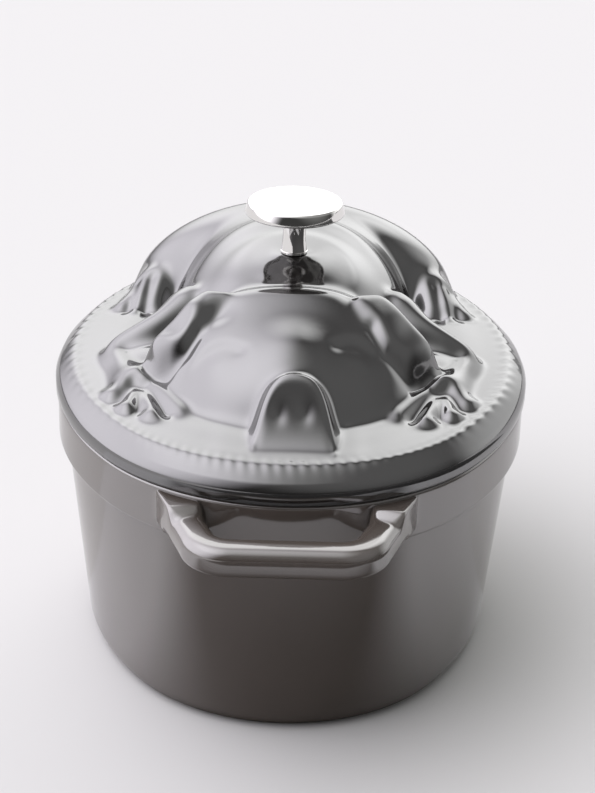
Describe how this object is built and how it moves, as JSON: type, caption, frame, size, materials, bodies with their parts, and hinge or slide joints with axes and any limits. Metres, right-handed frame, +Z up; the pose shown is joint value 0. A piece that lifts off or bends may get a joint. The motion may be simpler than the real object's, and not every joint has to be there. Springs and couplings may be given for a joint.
{
  "type": "cast iron cocotte",
  "caption": "Small oval enamelled cast iron cocotte with loop handles, a lid cast in relief as a lying pig and a metal knob.",
  "frame": {"origin": "middle of the foot's flat face, on the surface that the pot stands on", "axes": "+Z up, +Y along the oval's long way to the rear handle, +X to the right as seen from the front, where the pig's head is"},
  "size_m": [0.143, 0.214, 0.1343],
  "materials": {
    "pot_enamel": "glossy graphite grey enamel outside, matt black enamel inside",
    "lid_enamel": "glossy graphite grey enamel on top, matt black enamel below",
    "polished_metal": "mirror polished",
    "steel": "plain zinc grey"
  },
  "bodies": {
    "pot": {"pot": "pot_enamel"},
    "lid": {"lid": "lid_enamel", "knob": "polished_metal", "knob_screw": "steel", "flat_washer": "steel", "lock_washer": "steel"}
  },
  "joints": [
    {"name": "lid_lift", "type": "slide", "parent": "pot", "child": "lid", "axis": [0, 0, 1], "range_m": [0, 0.15]}
  ]
}
